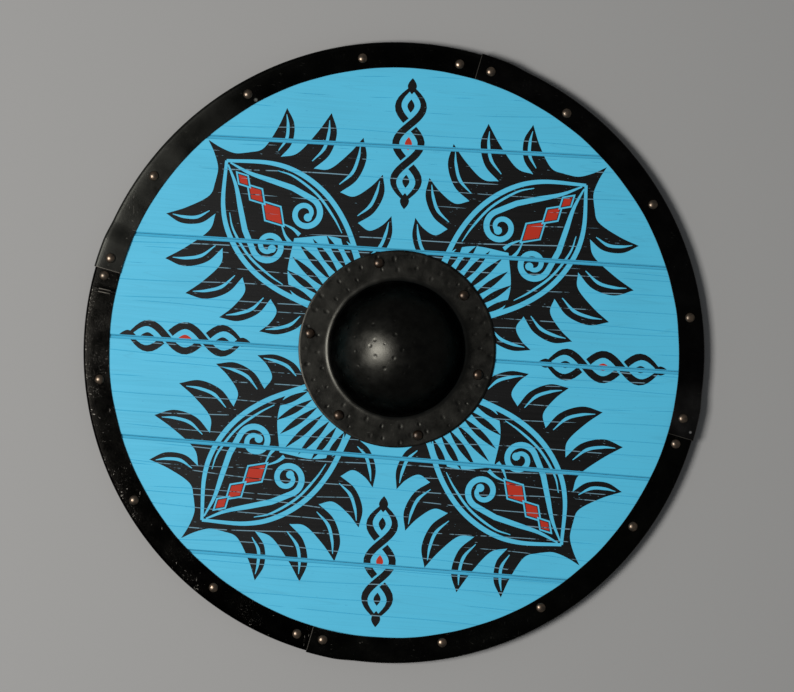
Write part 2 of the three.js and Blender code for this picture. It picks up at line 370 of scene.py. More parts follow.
# A leaf's flames up one side, each as the (angle, distance) of the notch that it springs from and
# of its tip. The last tip is the leaf's own.
FLAMES = [
    ((27, 92), (40, 134)),
    ((25.5, 132), (37.5, 175)),
    ((22.5, 166), (33, 213)),
    ((17.5, 197), (26.5, 243)),
    ((11, 222), (17.5, 262)),
    ((5, 243), (0, 277)),
]
# Where a flame's long side and its streak run between its notch and its tip, as shares of both
FLAME_BENDS = [(0.62, 0.16), (1.0, 0.56)]
LAST_FLAME_BENDS = [(0.5, 0.22), (0.82, 0.6)]
STREAK_BENDS = [(0.05, 0.16), (0.52, 0.32), (0.78, 0.6), (0.9, 0.86)]
# A flame's short side sags towards the leaf, as (share of the way back, distance)
FLAME_SAGS = [(0.3, 8), (0.72, 10.4)]


def leaf_side():
    """One side of a leaf, from its root under the boss to its tip."""
    flames = np.array(FLAMES, float)
    path = [polar(*LEAF_ROOT)[None, :]]
    for (notch, tip), following in zip(flames, [*flames[1:, 0], None]):
        bends = LAST_FLAME_BENDS if following is None else FLAME_BENDS
        path.append(polar_path([notch, *(notch + (tip - notch) * bend for bend in bends), tip])[:-1])
        if following is not None:
            back = following - tip
            sags = [tip + back * share - (0, sag) for share, sag in FLAME_SAGS]
            path.append(polar_path([tip, *sags, tip + back])[:-1])
    path.append(polar(*FLAMES[-1][1])[None, :])
    return np.vstack(path)


def fan_layers():
    """A blue shell at the leaf's root, with black petals that spread from the boss."""
    shell = smooth_path([(84, 0), (88, 26), (106, 38), (128, 27), (149, 0)])
    layers = [(BLUE, np.vstack([shell, mirrored(shell)[::-1][1:-1]]))]
    for petal in range(-3, 4):
        length = 50 - 4.5 * abs(petal)
        layers.append((BLACK, turned(almond((92 + length / 2, 0), length, 6.4), petal * 5.6)))
    return layers


def scroll_layers():
    """Scrolls with long tails, lines inside the leaf's edge, and a streak in each flame, in blue."""
    curl = spiral((160, 24), 16, 4.5, 62, 1.35)
    tail = smooth_path([(246, 1.5), (226, 9), (205, 21), (184, 33)])[:-1]
    contour = [(20, 92), (20.5, 134), (18, 168), (13.5, 198), (8, 222), (0, 250)]
    inner = [(17.5, 128), (17, 146), (15.2, 172), (11.6, 198), (8.5, 212)]
    strokes = [
        (np.vstack([tail, curl]), (1.5, 5, 6, 5.5, 5, 4)),
        (polar_path(contour), (5, 5, 5, 4.5, 3)),
        (polar_path(inner), (0.8, 2.4, 2.4, 0.8)),
        (smooth_path([(148, 6), (157, 5), (168, 0.5)]), (4, 2.5, 0.8)),
    ]
    for notch, tip in np.array(FLAMES[:-1], float):
        streak = polar_path([notch + (tip - notch) * bend for bend in STREAK_BENDS])
        strokes.append((streak, (0.8, 3.2, 2.8, 0.6)))
    shapes = [stroke(path, *widths) for path, widths in strokes] + [circle(curl[-1], 4, 14)]
    return [(BLUE, side) for shape in shapes for side in (shape, mirrored(shape))]


def lozenge_layers():
    """A string of lozenges down the leaf's middle, red in a black line in a blue band."""
    layers = []
    for x, length, width in ((181, 27, 17), (206, 20, 12.5), (225, 14, 8.5)):
        for colour, border in ((BLUE, 5.5), (BLACK, 1.8), (RED, 0)):
            layers.append((colour, lozenge((x, 0), length + 1.6 * border, width + border)))
    return layers


def leaf_layers():
    side = leaf_side()
    leaf = (BLACK, np.vstack([side, mirrored(side)[::-1][1:]]))
    return [leaf, *fan_layers(), *scroll_layers(), *lozenge_layers()]


PLAIT_START, PLAIT_LOBE, PLAIT_LOBES, PLAIT_SWING = 150, 37, 3, 12.5
PLAIT_LINE = 7


def plait_strand(side, start, end, steps=30):
    """One of the plait's two strands, between two distances from the middle."""
    x = np.linspace(start, end, steps)
    return np.column_stack([x, side * PLAIT_SWING * np.sin((x - PLAIT_START) / PLAIT_LOBE * math.pi)])


def plait_layers():
    """A plait of two strands, with an almond in each lobe and at each end."""
    end = PLAIT_START + PLAIT_LOBE * PLAIT_LOBES
    widths = (3, *[PLAIT_LINE] * 4, 3)
    layers = [(BLACK, stroke(plait_strand(side, PLAIT_START, end), *widths)) for side in (-1, 1)]
    for crossing in range(1, PLAIT_LOBES):
        middle = PLAIT_START + crossing * PLAIT_LOBE
        over = 1 if crossing % 2 else -1
        layers.append((BLUE, stroke(plait_strand(over, middle - 6.5, middle + 6.5), PLAIT_LINE + 4)))
        layers.append((BLACK, stroke(plait_strand(over, middle - 9, middle + 9), PLAIT_LINE)))
    for lobe in range(PLAIT_LOBES):
        middle = PLAIT_START + (lobe + 0.5) * PLAIT_LOBE
        layers.append((RED if lobe == 1 else BLACK, almond((middle, 0), 13, 7)))
    return layers + [(BLACK, almond((x, 0), 16, 9)) for x in (PLAIT_START - 1, end + 1)]


def pattern_layers():
    """Every layer of the pattern, in the order that it is painted."""
    drawings = [(LEAF_ANGLES, leaf_layers()), (PLAIT_ANGLES, plait_layers())]
    return [
        (colour, turned(shape, angle))
        for angles, layers in drawings for angle in angles for colour, shape in layers
    ]


# --- Materials ----------------------------------------------------------------------------------


def linear(red, green, blue):
    """A colour given in the screen's own 0 to 255 values, as Blender's linear one."""
    parts = [value / 255 for value in (red, green, blue)]
    return (*(p / 12.92 if p < 0.04045 else ((p + 0.055) / 1.055) ** 2.4 for p in parts), 1.0)


def shaded(colour, share):
    return tuple(c * share for c in colour[:3]) + (1.0,)


class Nodes:
    """A material and short ways to add nodes to it. Each input is a value or a node's output."""

    def __init__(self, name, shift=0.0, **sockets):
        self.material = bpy.data.materials.new(name)
        self.material.use_nodes = True
        self.tree = self.material.node_tree
        self.shader = self.tree.nodes["Principled BSDF"]
        for socket, value in sockets.items():
            self.shader.inputs[socket.replace("_", " ")].default_value = value
        self.place = self.add("ShaderNodeTexCoord").outputs["Object"]
        self.shift = shift

    def feed(self, socket, value):
        if isinstance(value, bpy.types.NodeSocket):
            self.tree.links.new(value, socket)
        else:
            socket.default_value = value

    def add(self, kind, inputs=None, **fields):
        node = self.tree.nodes.new(kind)
        for field, value in fields.items():
            setattr(node, field, value)
        for socket, value in (inputs or {}).items():
            self.feed(node.inputs[socket], value)
        return node

    def noise(self, scale, detail=3.0, rough=0.55, distortion=0.0, turn=0.0):
        """Noise with a wavelength of one unit on the axes scaled by the given amounts per mm."""
        stretched = self.add("ShaderNodeMapping", {
            "Vector": self.place,
            "Scale": [share * 1000 for share in scale],
            "Rotation": (0, 0, turn),
            "Location": (self.shift, 0, self.shift),
        })
        return self.add("ShaderNodeTexNoise", {
            "Vector": stretched.outputs["Vector"],
            "Scale": 1.0,
            "Detail": detail,
            "Roughness": rough,
            "Distortion": distortion,
        }).outputs["Fac"]

    def band(self, value, low, high, out_low=0.0, out_high=1.0):
        """A value moved from one range to another, and held at its ends."""
        return self.add("ShaderNodeMapRange", {
            "Value": value, "From Min": low, "From Max": high, "To Min": out_low, "To Max": out_high,
        }).outputs["Result"]

    def math(self, operation, first, second=0.0):
        return self.add("ShaderNodeMath", {0: first, 1: second}, operation=operation).outputs[0]

    def vector(self, operation, inputs):
        return self.add("ShaderNodeVectorMath", inputs, operation=operation).outputs

    def mix(self, factor, first, second):
        """A colour between two. Inputs 6 and 7 and output 2 are the node's ones for colours."""
        inputs = {0: factor, 6: first, 7: second}
        return self.add("ShaderNodeMix", inputs, data_type="RGBA").outputs[2]

    def by_distance(self, centre, stops):
        """A share that changes with the distance from an upright line, as (distance, share) stops."""
        flat = self.vector("MULTIPLY", {0: self.place, 1: (1000, 1000, 0)})[0]
        distance = self.vector("DISTANCE", {0: flat, 1: (*centre[:2], 0)})["Value"]
        share = stops[0][1]
        for (near, before), (far, after) in zip(stops, stops[1:]):
            share = self.math("ADD", share, self.band(distance, near, far, 0.0, after - before))
        return share

    def bump(self, height, strength, distance):
        inputs = {"Strength": strength, "Distance": distance * MM, "Height": height}
        bumped = self.add("ShaderNodeBump", inputs)
        self.feed(self.shader.inputs["Normal"], bumped.outputs["Normal"])

    def colour(self, output):
        self.feed(self.shader.inputs["Base Color"], output)

    def roughness(self, output):
        self.feed(self.shader.inputs["Roughness"], output)


# The levels of the broad growth noise at which fine lines of figure run
GROWTH_LINES = (0.36, 0.43, 0.5, 0.57, 0.64)
GROWTH_LINE_WIDTH = 0.006


def painted(name, body, fleck, fleck_level, roughness, shine, figure):
    """Paint over planed wood: faint streaks along the grain, tiny flecks, and a fine tooth."""
    m = Nodes(name, Specular_IOR_Level=shine)
    streaks = m.noise((0.012, 0.45, 0.45), detail=4.0)
    growth = m.noise((0.0022, 0.05, 0.05), detail=1.2, rough=0.5)
    patches = m.noise((0.012, 0.02, 0.02), detail=2.0)
    specks = m.noise((0.22, 1.1, 1.1), detail=2.0, rough=0.4)
    tint = m.mix(m.band(streaks, 0.35, 0.75), body, shaded(body, 0.9))
    tint = m.mix(m.band(patches, 0.3, 0.7), tint, shaded(body, 1.03))
    for level in GROWTH_LINES:
        near = m.math("ABSOLUTE", m.math("SUBTRACT", growth, level))
        line = m.band(near, 0.0, GROWTH_LINE_WIDTH, figure, 0.0)
        tint = m.mix(line, tint, shaded(body, 0.5))
    m.colour(m.mix(m.band(specks, fleck_level, fleck_level + 0.02), tint, fleck))
    m.roughness(m.band(streaks, 0.3, 0.7, roughness - 0.05, roughness + 0.06))
    m.bump(m.noise((0.05, 1.6, 1.6)), 0.35, 0.25)
    return m.material


def grain_in_print(name):
    """A groove of the grain under the print: bare of ink except where the ink ran across it."""
    m = Nodes(name, Roughness=0.6)
    ink = m.noise((0.09, 0.02, 0.02))
    m.colour(m.mix(m.band(ink, 0.52, 0.6), linear(116, 152, 168), PRINT_BLACK))
    return m.material


def bare_wood(name, light, dark, along=(0.0022, 0.03, 0.03), shift=0.0):
    """Planed wood: wide growth bands, fine streaks and open pores along the grain."""
    m = Nodes(name, shift, Roughness=0.62)
    growth = m.noise(along, detail=2.0, distortion=0.6)
    bands = m.math("PINGPONG", m.math("MULTIPLY", growth, 9.0), 1.0)
    streaks = m.noise(tuple(a * 9 for a in along), detail=5.0)
    pores = m.noise(tuple(a * 30 for a in along))
    figure = m.math("ADD", m.math("MULTIPLY", bands, 0.45), m.math("MULTIPLY", streaks, 0.75))
    wood = m.mix(m.band(figure, 0.25, 0.85), light, dark)
    m.colour(m.mix(m.band(pores, 0.55, 0.75), wood, shaded(dark, 0.55)))
    m.bump(pores, 0.4, 0.3)
    return m.material


# Scratches in three directions, each as how fine they are on each axis per mm, and their turn
SCRATCHES = [((0.16, 0.9, 0.5), 0.5), ((0.8, 0.12, 0.5), 0.3), ((0.3, 0.5, 0.5), 1.1)]
RUBBED_STEEL = linear(118, 114, 107)


def rubbed_places(m, grit):
    """Where steel is rubbed: in patches and scratches, most of them at the lower left."""
    patch = m.noise((0.02, 0.02, 0.02))
    rubbed = m.math("MULTIPLY", m.band(grit, 0.6, 0.72), m.band(patch, 0.48, 0.62))
    for scale, turn in SCRATCHES:
        strokes = m.noise(scale, detail=2.0, turn=turn)
        clump = m.noise(tuple(0.035 + axis * 0.01 for axis in scale), detail=2.0, turn=turn)
        scratches = m.math("MULTIPLY", m.band(strokes, 0.69, 0.73), m.band(clump, 0.54, 0.58))
        rubbed = m.math("MAXIMUM", rubbed, scratches)
    axes = m.add("ShaderNodeSeparateXYZ", {0: m.place}).outputs
    diagonal = m.math("ADD", axes["X"], m.math("MULTIPLY", axes["Y"], 0.8))
    return m.math("MULTIPLY", rubbed, m.band(diagonal, -320 * MM, 0.0, 1.0, 0.25))


def black_steel(name, shade, wear, roughness, coarse=0.05, edge=0.05, painted_light_tones=()):
    """Blackened steel: uneven sheen, rubbed patches and short scratches.

    Each tone is painted light and shade: it makes the colour paler or darker with the distance from a
    centre. The edge is how strongly the steel mirrors at a grazing angle.
    """
    m = Nodes(name, Metallic=1.0, Specular_Tint=(edge, edge, edge, 1))
    cloud = m.noise((coarse, coarse, coarse), detail=4.0, rough=0.6)
    grit = m.noise((0.9, 0.9, 0.9), rough=0.7)
    body = m.mix(m.band(cloud, 0.3, 0.7), shaded(shade, 0.8), shaded(shade, 1.25))
    # Painted light and shade: each tone scales the colour with the distance from its centre
    for centre, stops in painted_light_tones:
        body = m.vector("SCALE", {0: body, "Scale": m.by_distance(centre, stops)})[0]
    rubbed = m.math("MULTIPLY", rubbed_places(m, grit), wear)
    sheen = m.band(cloud, 0.3, 0.7, roughness - 0.06, roughness + 0.08)
    m.colour(m.mix(rubbed, body, RUBBED_STEEL))
    m.roughness(m.math("ADD", sheen, m.math("MULTIPLY", rubbed, 0.3)))
    m.bump(m.math("ADD", grit, m.math("MULTIPLY", cloud, 2.0)), 0.3, 0.25)
    return m.material


def rivet_steel(name, warm, cool):
    m = Nodes(name, Metallic=0.9)
    cloud = m.noise((0.25, 0.25, 0.25), detail=4.0, rough=0.6)
    m.colour(m.mix(m.band(cloud, 0.35, 0.65), warm, cool))
    m.roughness(m.band(cloud, 0.3, 0.7, 0.26, 0.36))
    m.bump(cloud, 0.25, 0.2)
    return m.material


BLUE_PAINT = linear(77, 182, 216)
BLUE_DEEP = linear(64, 161, 199)
PRINT_BLACK = linear(8, 8, 8)
PRINT_RED = linear(174, 42, 20)
# Each paint's body and fleck, the flecks' level, its roughness, its shine and its lines of figure
FACE_PAINTS = [
    painted("blue_paint", BLUE_PAINT, BLUE_DEEP, 0.74, 0.5, 0.3, 0.14),
    painted("black_print", PRINT_BLACK, linear(96, 128, 142), 0.735, 0.42, 0.16, 0.0),
    painted("red_print", PRINT_RED, linear(120, 60, 50), 0.72, 0.5, 0.2, 0.2),
    # Blue in the grain's grooves, a little darker as painted shade
    painted("blue_in_grain_painted_shade", linear(71, 174, 209), BLUE_DEEP, 0.7, 0.6, 0.3, 0.0),
    grain_in_print("grain_in_print"),
    # Blue in the seams' grooves and down the planks' sides, darker as painted shade
    painted("groove_blue_painted_shade", linear(68, 168, 203), BLUE_DEEP, 0.7, 0.6, 0.2, 0.0),
]
PAINT_OF = {BLUE: 0, BLACK: 1, RED: 2}
BLUE_GRAIN_SHADED, PRINT_GRAIN, GROOVE_BLUE_SHADED, BARE_BACK = 3, 4, 5, 6


def plank_back(index):
    """A plank's bare back, in one of three shades and with a figure of its own."""
    pale = linear(186 - 7 * (index % 3), 140 - 6 * (index % 3), 94)
    return bare_wood(f"plank_back_{index + 1}", pale, linear(138, 93, 56), shift=37 * index)


PLANK_BACKS = [plank_back(index) for index in range(len(SEAMS) + 1)]

# The rim's strips carry painted sheen in their tones: the upper left one is painted paler near its
# lower end and along its outer edge, the lower left one paler near its upper end and darker at its
# outer edge, and the upper right one paler at its lower lap. Each strip has its shade, its wear, its
# roughness and its tones, and the shades differ from strip to strip to match the light on each. The
# smallest tones are painted glints at two nicks.
RIM_FINISHES_AND_PAINTED_SHEEN = {
    "rim_upper_left": (linear(44, 44, 41), 0.3, 0.33, 0.03, [
        ((-262, 151), [(40, 0.6), (150, 0.1)]),
        ((0, 0), [(292, 0.8), (300, 1.1), (305, 3.2)]),
        ((-152.2, 238), [(0.8, 45.0), (2.2, 1.0)]),
    ]),
    "rim_upper_right": (linear(20, 19, 18), 0.4, 0.23, 0.05, [
        ((295, -40), [(16, 3.8), (34, 1.0)]),
        ((295.2, -58), [(0.6, 30.0), (1.6, 1.0)]),
    ]),
    "rim_lower_right": (linear(17, 17, 15), 0.4, 0.22, 0.05, []),
    "rim_lower_left": (linear(25, 24, 22), 0.8, 0.2, 0.05, [
        ((-302, 20), [(30, 0.5), (150, 0.2)]),
        ((0, 0), [(297, 1.0), (303, 0.35)]),
    ]),
}
RIM_STEELS = {
    node: black_steel(f"{node}_steel", shade, wear, roughness, coarse, 0.8, painted_light_tones)
    for node, (shade, wear, roughness, coarse, painted_light_tones) in RIM_FINISHES_AND_PAINTED_SHEEN.items()
}
# Rubbed steel for the rim's edges, painted paler to stand in for the glint along them
RIM_EDGE_WEAR_AND_GLINT = black_steel("rim_edge_wear_and_glint", linear(70, 67, 62), 0.9, 0.45)

# The dome's colour carries a painted highlight left of its crown and painted shade on its sides,
# a ring of painted highlight at its foot, and a flange painted a little paler than those sides
PAINTED_HIGHLIGHT_SPOT = (BOSS_CENTRE.x - 31, BOSS_CENTRE.y - 4)
BOSS_STEEL = black_steel("boss_steel", linear(58, 57, 53), 0.35, 0.35, 0.08, painted_light_tones=[
    (PAINTED_HIGHLIGHT_SPOT, [(16, 0.85), (42, 0.42)]),
    (BOSS_CENTRE, [(64, 1.0), (67, 2.4), (72, 1.22)]),
])
STRAP_STEEL = black_steel("strap_steel", linear(60, 59, 56), 0.5, 0.5)
RIM_RIVET_STEEL = rivet_steel("rim_rivet_steel", linear(118, 101, 85), linear(76, 69, 61))
BOSS_RIVET_STEEL = rivet_steel("boss_rivet_steel", linear(82, 66, 53), linear(44, 41, 38))
HANDLE_WOOD = bare_wood(
    "handle_wood", linear(150, 100, 60), linear(104, 64, 34), (0.06, 0.006, 0.06),
)

# --- Planks -------------------------------------------------------------------------------------

GRAIN_DEPTH = 0.3
GRAIN_STEP = 9.0
# For each plank: the grooves' spacing, how broken they are, and how far they wander
GRAIN_STYLE = [
    (20, 0.9, 2.4), (13, 0.85, 1.5), (12, 0.25, 1.8), (12, 0.3, 2.0), (12.5, 0.3, 3.0), (15, 0.4, 2.2),
]
# How long a groove's runs and the gaps between them are, broken up and whole
BROKEN_RUNS, WHOLE_RUNS = (9, 48), (160, 520)
BROKEN_GAPS, WHOLE_GAPS = (18, 110), (6, 30)
SHORTEST_RUN = 10
GRAIN_HALF_WIDTHS = (0.32, 0.52)
# A groove wanders in a long wave and in a shorter, lower one
LONG_WAVE, SHORT_WAVE, SHORT_SHARE = 95, 31, 0.35
GRAIN_TAPER = 16


def seam_y(seam, x):
    height, slope = seam
    return height + x * math.tan(math.radians(slope))


def grain_lines(index, upper, lower):
    """The grain's open grooves on one plank, each as (x, middle, half width) along its run."""
    chance = random.Random(40 + index)
    spacing, broken, swing = GRAIN_STYLE[index]
    top = seam_y(upper, 0) if upper else BOARD_RADIUS
    height = top - (seam_y(lower, 0) if lower else -BOARD_RADIUS)
    lines = []
    drop = spacing * chance.uniform(0.3, 0.7)
    while drop < height - 4:
        start = -BOARD_RADIUS + chance.uniform(0, 60)
        phase, second = chance.uniform(0, 6.28), chance.uniform(0, 6.28)
        while start < BOARD_RADIUS - 40:
            run = chance.uniform(*(BROKEN_RUNS if broken > chance.random() else WHOLE_RUNS))
            end = min(start + run, BOARD_RADIUS - 12)
            if end - start > SHORTEST_RUN:
                x = np.linspace(start, end, max(4, int((end - start) / GRAIN_STEP)))
                base = seam_y(upper, x) - drop if upper else seam_y(lower, x) + height - drop
                y = base + swing * np.sin(x / LONG_WAVE + phase)
                y = y + SHORT_SHARE * swing * np.sin(x / SHORT_WAVE + second)
                ends = np.minimum(1, np.minimum(x - start + 1.5, end - x + 1.5) / GRAIN_TAPER)
                lines.append((x, y, chance.uniform(*GRAIN_HALF_WIDTHS) * ends))
            start = end + chance.uniform(*(BROKEN_GAPS if broken > chance.random() else WHOLE_GAPS))
        drop += spacing * chance.uniform(0.65, 1.4)
    return lines


def edge_points(seam, shift, radius):
    """Where the line beside a seam leaves a circle, left and right."""
    height, slope = seam
    height += shift
    rise = math.tan(math.radians(slope))
    a, b, c = 1 + rise**2, 2 * rise * height, height**2 - radius**2
    root = math.sqrt(b * b - 4 * a * c)
    return [np.array([x, height + rise * x]) for x in ((-b - root) / (2 * a), (-b + root) / (2 * a))]


def edge_arc(start, end, radius):
    """Points on a circle, counter-clockwise, without the last."""
    a, b = math.atan2(start[1], start[0]), math.atan2(end[1], end[0])
    b += 2 * math.pi * (b <= a)
    count = max(2, int((b - a) / math.radians(1.5)))
    return around((0, 0), radius, np.linspace(a, b, count, endpoint=False))


def plank_outline(upper, lower):
    """The edge of a plank's face inside its grooves, as a closed line round the plank."""
    radius = BOARD_RADIUS - BOARD_EASING
    parts = []
    if lower:
        left, right = edge_points(lower, GROOVE_ABOVE + SEAM_GAP / 2, radius)
        parts.append(np.linspace(left, right, 60, endpoint=False))
    if upper:
        top_left, top_right = edge_points(upper, -(GROOVE_BELOW + SEAM_GAP / 2), radius)
        parts.append(np.linspace(top_right, top_left, 60, endpoint=False))
    if not upper:
        return np.vstack([edge_arc(right, left, radius), *parts])
    if not lower:
        return np.vstack([edge_arc(top_left, top_right, radius), *parts])
    along_lower, along_upper = parts
    right_end, left_end = edge_arc(right, top_right, radius), edge_arc(top_left, left, radius)
    return np.vstack([along_lower, right_end, along_upper, left_end])


BACK_EASING = 0.6
NEAR_LINE = 0.05
# How far down the eased edge's first level is
EASING_START = 0.01


def seam_of(point, upper, lower):
    """The seam that a point on the face's outline lies along, and the plank's side of it."""
    x, y = point
    if upper and abs(seam_y(upper, x) - GROOVE_BELOW - SEAM_GAP / 2 - y) < NEAR_LINE:
        return upper, -1
    if lower and abs(seam_y(lower, x) + GROOVE_ABOVE + SEAM_GAP / 2 - y) < NEAR_LINE:
        return lower, 1
    return None, 0


def lowered(point, upper, lower):
    """A point of the face's outline as it comes lower down the plank's edge, at four levels."""
    x, y = point
    seam, side = seam_of(point, upper, lower)
    half = SEAM_GAP / 2
    if side < 0:
        first, step = GROOVE_BELOW + half - GROOVE_STEP, GROOVE_STEP
    else:
        first, step = GROOVE_ABOVE / 2 + half, GROOVE_DEPTH / 2
    drop, rise = GROOVE_DEPTH, BACK_EASING
    centre, radii = None, (None,) * 4
    inner = BOARD_RADIUS - BOARD_EASING
    if math.hypot(x, y) > inner - NEAR_LINE:
        centre, radii = (0, 0), (inner + GROOVE_STEP, BOARD_RADIUS, BOARD_RADIUS, inner)
        step, drop, rise = EASING_START, BOARD_EASING_DROP, BOARD_EASING_DROP
    elif abs(math.hypot(x - BOSS_CENTRE.x, y - BOSS_CENTRE.y) - HAND_HOLE_RADIUS) < NEAR_LINE:
        centre, radii = BOSS_CENTRE.xy, (HAND_HOLE_RADIUS,) * 4
    # How far the plank's side stands off the seam's middle at each level
    gaps = (first, half, half, half + BACK_EASING)
    heights = (BOARD_FACE - step, BOARD_FACE - drop, BOARD_BACK + rise, BOARD_BACK)
    levels = []
    for radius, gap, height in zip(radii, gaps, heights):
        px, py = x, y
        if seam:
            for _ in range(3):
                py = seam_y(seam, px) + side * gap
                if radius:
                    reach = math.sqrt(radius**2 - (py - centre[1]) ** 2)
                    px = centre[0] + math.copysign(reach, x - centre[0])
        elif radius:
            scale = radius / math.hypot(x - centre[0], y - centre[1])
            px, py = centre[0] + (x - centre[0]) * scale, centre[1] + (y - centre[1]) * scale
        levels.append((px, py, height))
    return levels


def boundary_loops(faces):
    """The edges that only one triangle has, as closed loops with the triangles on their left."""
    edges = {(int(a), int(b)) for face in faces for a, b in zip(face, np.roll(face, -1))}
    following = {a: b for a, b in edges if (b, a) not in edges}
    loops = []
    while following:
        start, here = following.popitem()
        loop = [start]
        while here != start:
            loop.append(here)
            here = following.pop(here)
        loops.append(loop)
    return loops


def outlined(points, loops):
    """Triangles that fill closed loops of points, by the even-odd rule, facing up."""
    edges = [edge for start, count in loops for edge in loop_edges(start, count)]
    flat = [Vector(p) for p in points]
    found, _, faces, source, *_ = delaunay_2d_cdt(flat, edges, [], 0, 1e-6)
    found, faces = np.array([v[:] for v in found]), np.array(faces, dtype=int)
    middles = found[faces].mean(axis=1)
    odd = np.zeros(len(faces), bool)
    for start, count in loops:
        odd ^= inside(middles, points[start : start + count])
    numbers = np.array([origin[0] for origin in source])
    return numbers[faces[odd]]


def make_slab(node, points, faces, paints, lower_rings, materials, walls, back):
    """A solid from its upper face: walls go down through rings at each loop, then a back."""
    used = np.unique(faces)
    number = np.zeros(len(points), int)
    number[used] = np.arange(len(used))
    solid_points = list(map(tuple, points[used]))
    solid_faces = number[faces].tolist()
    paints = list(paints)
    flat, flat_numbers, flat_loops = [], [], []
    for loop in boundary_loops(faces):
        count = len(loop)
        levels = [lower_rings(points[i][:2]) for i in loop]
        above = [int(number[i]) for i in loop]
        for level, wall in enumerate(walls):
            start = len(solid_points)
            solid_points.extend(steps[level] for steps in levels)
            below = list(range(start, start + count))
            for a, b in loop_edges(0, count):
                solid_faces.append([above[a], below[a], below[b], above[b]])
                paints.append(wall)
            above = below
        flat_loops.append((len(flat), count))
        flat.extend(steps[-1][:2] for steps in levels)
        flat_numbers.extend(above)
    for face in outlined(np.array(flat), flat_loops):
        solid_faces.append([flat_numbers[i] for i in face[::-1]])
        paints.append(back)
    mesh = new_mesh(node, solid_points, solid_faces, materials, False, paints)
    return finish_piece(node, mesh)


def face_paints(middles, layers, lenses):
    """The paint on each triangle of a plank's face."""
    paint = np.zeros(len(middles), int)
    for colour, shape in layers:
        paint[inside(middles, shape)] = PAINT_OF[colour]
    in_grain = np.zeros(len(middles), bool)
    for lens in lenses:
        in_grain |= inside(middles, lens)
    # Blue in the grain takes the darker blue of painted shade, and print there is bare of ink
    paint[in_grain] = np.where(paint[in_grain] == PAINT_OF[BLUE], BLUE_GRAIN_SHADED, PRINT_GRAIN)
    return paint


def grain_depth(points, grain):
    """How deep each point lies in the grain's grooves."""
    depth = np.zeros(len(points))
    for x, y, half in grain:
        reach = np.interp(points[:, 0], x, half, left=0, right=0)
        offset = np.abs(points[:, 1] - np.interp(points[:, 0], x, y))
        within = offset < reach
        full = GRAIN_DEPTH * reach[within] / half.max()
        depth[within] = np.maximum(depth[within], full * (1 - offset[within] / reach[within]))
    return depth


def make_plank(index, layers, holes):
    edges = [None, *SEAMS, None]
    upper, lower = edges[index], edges[index + 1]
    outline = plank_outline(upper, lower)
    low, high = outline.min(axis=0), outline.max(axis=0)

    def near(shape):
        return (shape.max(axis=0) > low).all() and (shape.min(axis=0) < high).all()

    layers = [(colour, shape) for colour, shape in layers if near(shape)]
    grain = grain_lines(index, upper, lower)
    lenses = [np.vstack([np.column_stack([x, y + half]), np.column_stack([x, y - half])[::-1]])
              for x, y, half in grain]
    sheet = Sheet(outline)
    for hole in holes:
        if near(hole):
            sheet.hole(hole)
    for _, shape in layers:
        sheet.line(shape)
    for (x, y, _), lens in zip(grain, lenses):
        sheet.line(lens)
        sheet.line(np.column_stack([x, y])[1:-1], closed=False)
    points, faces, middles = sheet.triangles()

    depth = grain_depth(points, grain)
    for loop in boundary_loops(faces):
        depth[loop] = 0
    make_slab(
        f"plank_{index + 1}",
        np.column_stack([points, BOARD_FACE - depth]), faces, face_paints(middles, layers, lenses),
        lambda point: lowered(point, upper, lower), [*FACE_PAINTS, PLANK_BACKS[index]],
        # The groove's sides take the darker blue of painted shade
        (GROOVE_BLUE_SHADED, GROOVE_BLUE_SHADED, BARE_BACK, BARE_BACK), BARE_BACK,
    )


def make_planks():
    layers = pattern_layers()
    holes = [circle(BOSS_CENTRE.xy, HAND_HOLE_RADIUS, 120)]
    holes += [circle(place, HOLE_RADIUS, 16) for place in places(RIM_RIVETS + BOSS_RIVETS)]
    for index in range(len(SEAMS) + 1):
        make_plank(index, layers, holes)


# --- Rim ----------------------------------------------------------------------------------------

RIM_STEP = 0.9
RIM_CORNER = 0.3
RIM_INNER_CORNER = 0.15
RIM_ROUND = 3.2
# Where the strip's flat leg has points, from its inner edge
LEG_POINTS = (5, 11, 17)
# The strip's face falls away a little towards the rounded edge
RIM_FALL = 0.28
# The face is uneven in long, low waves, and its lip stands up a little
RIM_WAVE = 0.3
LIP_HEIGHT = 0.2
LAP_SLOPE = 4.5
# A crease across the lower left strip: two fine folds, rubbed and painted paler for their glint
CREASES = (171.6, 172.2)
CREASE_WIDTH = 0.08
CREASE_DEPTH = 0.16
# How far in from its end the upper strip of a lap is rubbed and painted paler for its edge's glint
LAP_WEAR_AND_GLINT = 0.1
# The section's edges that are rubbed and painted paler for a glint: its lip, its face at the crease,
# and its face at a lap
LIP_EDGE = 0
CREASE_EDGES = (2, 3)
FACE_EDGES = 9


def crease_height(angle):
    return CREASE_DEPTH * max(max(0.0, 1 - abs(angle - fold) / CREASE_WIDTH) for fold in CREASES)


